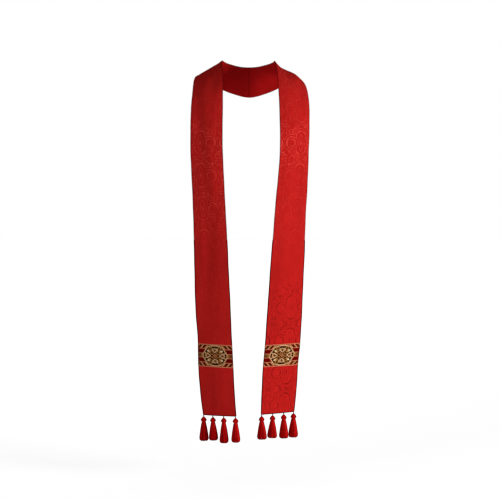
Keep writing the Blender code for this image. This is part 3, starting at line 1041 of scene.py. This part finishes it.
def binding(bundle):
    """A thread wound tight round the neck."""
    steps = np.linspace(0, 1, BINDING_TURNS * 22)
    turn = TURN * BINDING_TURNS * steps
    depth = NECK_TOP + BINDING_INSET + (NECK_FOOT - NECK_TOP - 2 * BINDING_INSET) * steps
    path = at_reach(turn, NECK_RADIUS + BINDING_RADIUS * 1.2, depth)
    bundle.add(path, BINDING_RADIUS, at_reach(turn, 1.0, 0.0), 6, 0.3)


def core(bundle, tassel):
    """What fills the skirt and the head, so that no light comes through."""
    share = np.linspace(0.0, 1.0, 9)
    depth = NECK_TOP - 0.0040 + (tassel.length - NECK_TOP - 0.0080) * share
    spread = (tassel.spread / 2 - NECK_RADIUS) * np.interp(share, *SKIRT_SPREAD)
    skirt_core = depth, SKIRT_CORE * (NECK_RADIUS + spread)
    head_core = np.array(CROWN_DEPTHS[1:]), np.array(CROWN_RADII[1:]) * HEAD_CORE
    for depth, reach in (skirt_core, head_core):
        bundle.add(at_reach(0.0, 0.0, depth), reach, (1.0, 0.0, 0.0), CORE_SIDES, 0.1)


def skirt(bundle, tassel, rng):
    """Layers of threads that fan out from the neck to the skirt's end."""
    full = tassel.length - NECK_TOP
    share = np.linspace(0, 1, 16) ** 0.92
    taper = 1 - THREAD_TAPER * smooth_step(share, TAPER_START, 1.0)
    for layer_share, count, radius in SKIRT_LAYERS:
        angles = np.arange(count) * TURN / count
        angles = angles + rng.uniform(-0.5, 0.5, count) * TURN / count
        lock = 1
        for locks, depth in SKIRT_LOCKS:
            lock = lock + depth * np.sin(locks * angles + rng.uniform(0, 6))
        end = tassel.spread / 2 * layer_share - radius
        start = NECK_RADIUS * (0.55 + 0.45 * layer_share) - radius
        reach = start + (end * lock - start)[:, None] * np.interp(share, *SKIRT_SPREAD)
        loose = rng.normal(0, STRAY_OUT, count)[:, None] * share
        reach = np.minimum(reach + loose, tassel.spread / 2 - radius)
        lengths = full * (rng.uniform(*THREAD_LENGTHS, count) - 0.15 * (layer_share - 0.74))
        sway = rng.normal(0, STRAY_ROUND, count)[:, None] * share
        phases = rng.uniform(0, 6, count)[:, None]
        ripple = RIPPLE * np.sin(share * RIPPLE_WAVES + phases) * share
        turn = angles[:, None] + sway + ripple
        paths = at_reach(turn, reach, NECK_TOP + lengths[:, None] * share)
        tones = 0.5 + TONE_WAVE * np.sin(TONE_LOCKS * angles + rng.uniform(0, 6))
        tones = tones + rng.uniform(-TONE_SPREAD, TONE_SPREAD, count)
        bundle.add(paths, radius * taper, beside(turn), 3, tones)


def make_tassel(tassel, band, material, seed):
    rng = np.random.default_rng(seed)
    bundle = Bundle()
    twisted_cord(bundle)
    crown(bundle, rng)
    binding(bundle)
    core(bundle, tassel)
    skirt(bundle, tassel, rng)
    obj = bundle.make(f"silk_{tassel.name}", material)
    points, out = band.sampled([band.distance_of("hem")], [tassel.across])
    place = points[0, 0] - out[0, 0] * HALF_WALL
    obj.location = (place[0], place[1], place[2] - LAY_GAP)
    obj.rotation_euler = (0.0, -math.atan2(tassel.sway, tassel.length), 0.0)
    return obj


# ======== materials
class Look:
    """A material with a Principled shader, and short ways to add nodes to it."""

    def __init__(self, name, shader_inputs):
        self.material = bpy.data.materials.new(name)
        self.material.use_nodes = True
        self.tree = self.material.node_tree
        self.shader = self.tree.nodes["Principled BSDF"]
        fill_sockets(self.tree, self.shader, shader_inputs)
        self.vector = None

    def node(self, kind, inputs, output=0, **settings):
        """Adds a node and gives its output."""
        return add_node(self.tree, kind, inputs, **settings).outputs[output]

    def stored(self, name):
        """A number stored in the mesh, as a field."""
        return Field(self.tree, self.node("ShaderNodeAttribute", {}, "Fac", attribute_name=name))

    def on_object(self):
        """Lays the noise out in the object's own metres."""
        self.vector = self.node("ShaderNodeTexCoord", {}, "Object")

    def on_cloth(self):
        """Lays the noise out in millimetres along the cloth, and gives those two as fields."""
        attribute = {"attribute_name": "cloth_place"}
        self.vector = self.node("ShaderNodeAttribute", {}, "Vector", **attribute)
        split = add_node(self.tree, "ShaderNodeSeparateXYZ", {0: self.vector})
        return Field(self.tree, split.outputs[0]), Field(self.tree, split.outputs[1])

    def painted_edge_shade(self):
        """Painted shade: darker where the cloth turns round its edge and along the centre-back
        seam.
        """
        return within(self.stored("edge_near") * 0.24 + 0.06)

    def noise(self, scale, detail, roughness=0.5):
        """Noise from 0 to 1. scale is one number, or three to stretch it."""
        inputs = {"Vector": self.vector, "Scale": scale}
        if isinstance(scale, tuple):
            inputs = {"Vector": self.node("ShaderNodeMapping", inputs), "Scale": 1.0}
        inputs |= {"Detail": detail, "Roughness": roughness}
        return Field(self.tree, self.node("ShaderNodeTexNoise", inputs, "Fac"))

    def blend(self, share, first, second, mode="MIX"):
        """A colour between two, each a colour or a socket."""
        inputs = {0: share, 6: first, 7: second}
        return self.node("ShaderNodeMix", inputs, 2, data_type="RGBA", blend_type=mode)

    def shade(self, color, share):
        """A colour made lighter or darker by a field round 1."""
        gray = self.node("ShaderNodeCombineXYZ", {0: share, 1: share, 2: share})
        return self.blend(1.0, color, gray, "MULTIPLY")

    def finish(self, color, roughness, height):
        """Links colour, roughness and a height in millimetres to the shader."""
        bump = {"Strength": 1.0, "Distance": 1 / MM, "Height": height}
        normal = self.node("ShaderNodeBump", bump)
        inputs = {"Base Color": color, "Roughness": roughness, "Normal": normal}
        fill_sockets(self.tree, self.shader, inputs)
        return self.material


def cloth_look(name, sheen, tint):
    """Cloth has no gloss, only a soft sheen of its own colour."""
    sheen = {"Sheen Weight": sheen, "Sheen Roughness": 0.4, "Sheen Tint": (*tint, 1.0)}
    return Look(name, {"Specular IOR Level": 0.0, **sheen})


def rows(along, pitch):
    """Threads side by side, a pitch apart in millimetres, as a rise and fall round 0."""
    return sine(along * (TURN / pitch))


def damask_material():
    """Tone on tone: a smoother figure on a deeper satin ground, with painted sheen on the figure.
    """
    look = cloth_look("damask_red", 0.10, (1.0, 0.12, 0.09))
    x, y = look.on_cloth()
    drift = look.noise(0.035, 1.0) - 0.5
    start_x, start_y = REPEAT_START
    place_x, place_y = x - start_x + drift * 2.2, y - start_y + drift * 1.6
    figure = ink(damask_motif(place_x, place_y, drift * 26.0), 0.9)
    patches = least(look.noise(0.013, 1.0) * 2.0, 1.1)
    gleams = within(look.noise(0.045, 1.0) * 4.5 - 1.35, 0.30)
    # Painted sheen: how much lighter or darker the figure is drawn, down each half and in random
    # patches
    painted_sheen = look.stored("painted_figure_sheen") * patches * gleams
    wear = look.noise(0.02, 3.0, 0.6)
    slub = look.noise((0.06, 1.1, 1.0), 2.0)
    warp = look.noise((0.35, 0.012, 1.0), 2.0)
    grain = look.noise((1.6, 0.5, 1.0), 1.0)
    color = look.blend(figure * most(painted_sheen, 0.0), rgb(206, 34, 31), rgb(243, 68, 60))
    floats = figure * rows(y, 0.46) + (1 - figure) * rows(x, 0.40)
    tone = 0.75 + wear * 0.22 + slub * 0.12 + warp * 0.08 + grain * 0.08 + floats * 0.06
    # Where the painted sheen is under 0, the figure is painted darker than the ground
    darker = most(painted_sheen * -1.0, 0.0)
    tone = tone * (1 + darker * (0.08 - 0.52 * figure)) * look.painted_edge_shade()
    roughness = 0.62 - figure * 0.12 + wear * 0.08
    height = figure * 0.10 + floats * 0.014 + slub * 0.05 + grain * 0.03
    return look.finish(look.shade(color, tone), roughness, height)


def lining_material():
    """Plain red sateen with a fine twill."""
    look = cloth_look("lining_red", 0.10, (1.0, 0.14, 0.11))
    x, y = look.on_cloth()
    wear = look.noise(0.018, 3.0, 0.6)
    slub = look.noise((0.05, 0.9, 1.0), 2.0)
    warp = look.noise((0.30, 0.010, 1.0), 2.0)
    twill = rows(x + y, 0.7)
    color = look.blend(slub, rgb(176, 20, 22), rgb(194, 26, 27))
    tone = (0.66 + wear * 0.42 + warp * 0.16 + twill * 0.07) * look.painted_edge_shade()
    return look.finish(look.shade(color, tone), 0.52 + wear * 0.12, twill * 0.016 + slub * 0.06)


def galloon_material():
    """Dull gold, olive and rose threads on dark brown and maroon, figured as charted above."""
    look = cloth_look("galloon_gold", 0.08, (1.0, 0.55, 0.30))
    x, y = look.on_cloth()
    wobble = look.noise(0.35, 1.0) - 0.5
    color, height = WEDGE_BROWN, 0.0
    chart = galloon_threads(absolute(x + wobble * 1.1), absolute(y + wobble * 0.9))
    for shape, thread_color, relief in chart:
        cover = ink(shape, 0.7)
        color = look.blend(cover, color, thread_color)
        height = (1 - cover) * height + cover * relief
    float_rows = rows(y, 0.62)
    weave = float_rows * sine(x * (TURN / 0.9) + float_rows * 1.4)
    flecks = look.noise((0.9, 1.7, 1.0), 2.0, 0.7)
    color = look.shade(color, 0.62 + flecks * 0.66 + weave * 0.10)
    return look.finish(color, 0.62 - height * 0.16, height * 0.22 + weave * 0.04 + flecks * 0.10)


def stitch_material(name, dark, light):
    look = Look(name, {"Specular IOR Level": 0.1})
    twist = rows(look.stored("thread_length"), 0.5)
    # The colour swings from dark to light with the twist: painted shade in the grooves between the
    # plies
    color = look.blend(0.5 + twist * 0.3, dark, light)
    return look.finish(color, 0.6 + twist * 0.05, twist * 0.02)


def silk_material():
    """Satin rayon thread, each thread with its own tone and a fine twist."""
    gloss = {"Specular IOR Level": 0.40, "Specular Tint": (1.0, 0.12, 0.10, 1.0)}
    look = Look("tassel_red", gloss)
    tone = look.stored("thread_tone")
    twist = sine(look.stored("thread_length") * (TURN / 1.3) + tone * 40.0)
    look.on_object()
    streak = look.noise((900.0, 900.0, 60.0), 2.0)
    color = look.blend(tone, rgb(158, 1, 2), rgb(253, 15, 13))
    color = look.shade(color, (0.80 + streak * 0.40) * least(tone + 1.0, 1.0))
    return look.finish(color, 0.38 + streak * 0.12, twist * 0.03 + streak * 0.04)


def floor_material():
    look = Look("pale_floor", {"Specular IOR Level": 0.1})
    look.on_object()
    speckle = look.noise(3.0, 3.0)
    color = look.blend(speckle, (0.90, 0.90, 0.90, 1.0), (0.94, 0.94, 0.94, 1.0))
    return look.finish(color, 0.75 + speckle * 0.05, speckle * 0.1)


# ======== studio
FLOOR_Z = -1.58
FLOOR_REACH = 14.0
PHOTO_PIXELS = 500
METRES_PER_PIXEL = 0.0037
VIEW_TARGET = Vector((0.0037, -0.1, -0.705))
VIEW_DISTANCE = 7.0
VIEW_ELEVATION = math.radians(4.0)
SENSOR = 36.0
# A lamp's name, azimuth and elevation in degrees, distance, size and power
LAMPS = (
    ("key", 60, -5, 3.6, 1.2, 84.5),
    ("fill", -40, -3, 4.5, 1.4, 27.5),
    ("back", 214, -4, 4.0, 1.2, 62.0),
)
LAMP_TARGET = Vector((0.0, -0.05, -0.62))
# What the camera sees round the object, and what lights it: colour and strength
SEEN_SURROUND = (1.0, 1.0, 1.0, 1.0), 1.0
LIT_SURROUND = (0.95, 0.97, 1.0, 1.0), 0.15


def direction(azimuth, elevation):
    """From the object towards an azimuth and an elevation, in radians."""
    level = math.cos(elevation)
    return Vector((math.sin(azimuth) * level, -math.cos(azimuth) * level, math.sin(elevation)))


def make_camera():
    camera = new_object("camera", bpy.data.cameras.new("camera"))
    camera.location = VIEW_TARGET + direction(0.0, VIEW_ELEVATION) * VIEW_DISTANCE
    camera.rotation_euler = (math.pi / 2 - VIEW_ELEVATION, 0.0, 0.0)
    camera.data.sensor_width = SENSOR
    camera.data.lens = SENSOR * VIEW_DISTANCE / (PHOTO_PIXELS * METRES_PER_PIXEL)
    bpy.context.scene.camera = camera


def make_lamps():
    for name, azimuth, elevation, distance, size, power in LAMPS:
        data = bpy.data.lights.new(name, "AREA")
        data.shape, data.size, data.energy = "SQUARE", size, power
        lamp = new_object(name, data)
        away = direction(math.radians(azimuth), math.radians(elevation))
        lamp.location = LAMP_TARGET + away * distance
        lamp.rotation_euler = away.to_track_quat("Z", "Y").to_euler()


def make_world():
    """A white surround to look at, which lights the object more softly than it looks."""
    world = bpy.data.worlds.new("studio")
    world.use_nodes = True
    tree = world.node_tree
    tree.nodes.clear()
    seen = add_node(tree, "ShaderNodeLightPath", {}).outputs["Is Camera Ray"]
    lit, shown = (
        add_node(tree, "ShaderNodeBackground", {"Color": color, "Strength": strength}).outputs[0]
        for color, strength in (LIT_SURROUND, SEEN_SURROUND)
    )
    mix = add_node(tree, "ShaderNodeMixShader", {0: seen, 1: lit, 2: shown})
    add_node(tree, "ShaderNodeOutputWorld", {0: mix.outputs[0]})
    bpy.context.scene.world = world


def make_floor():
    reach = FLOOR_REACH
    corners = [(-reach, -reach, 0), (reach, -reach, 0), (reach, reach, 0), (-reach, reach, 0)]
    mesh = new_mesh("floor", corners, [(0, 1, 2, 3)])
    mesh.materials.append(floor_material())
    floor = new_object("floor", mesh)
    floor.location = (0.0, 0.0, FLOOR_Z)
    floor.is_shadow_catcher = True


# ======== the stole
# Each half's cut: its length and its flat area
CUTS = {"right": (1.551, 0.1936), "left": (1.517, 0.1900)}


def main():
    bpy.context.scene.view_settings.view_transform = "Standard"
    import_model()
    make_camera()
    damask, lining = damask_material(), lining_material()
    galloon, silk = galloon_material(), silk_material()
    stitch = stitch_material("stitch_rose", rgb(176, 112, 84), rgb(206, 148, 112))
    slip_stitch = stitch_material("stitch_red", rgb(150, 12, 12), rgb(206, 28, 26))
    bands = {side: Band(side) for side in SIDES}
    for side, band in bands.items():
        half = make_half(band, damask, lining)
        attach(half, "root")
        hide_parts(f"stole_half_{side}")
        woven = make_galloon(band, galloon)
        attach(woven, "root")
        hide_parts(f"galloon_{side}")
        stitches = make_stitches(band, stitch)
        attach(stitches, "root")
        slips = make_slip_stitches(band, slip_stitch)
        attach(slips, "root")
        length, area = CUTS[side]
        height = band.distance_of("galloon_foot") - band.distance_of("galloon_top")
    for seed, tassel in enumerate(TASSELS):
        piece = make_tassel(tassel, bands[tassel.side], silk, seed)
        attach(piece, "root")
        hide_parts(tassel.name)
    make_floor()
    make_lamps()
    make_world()


main()
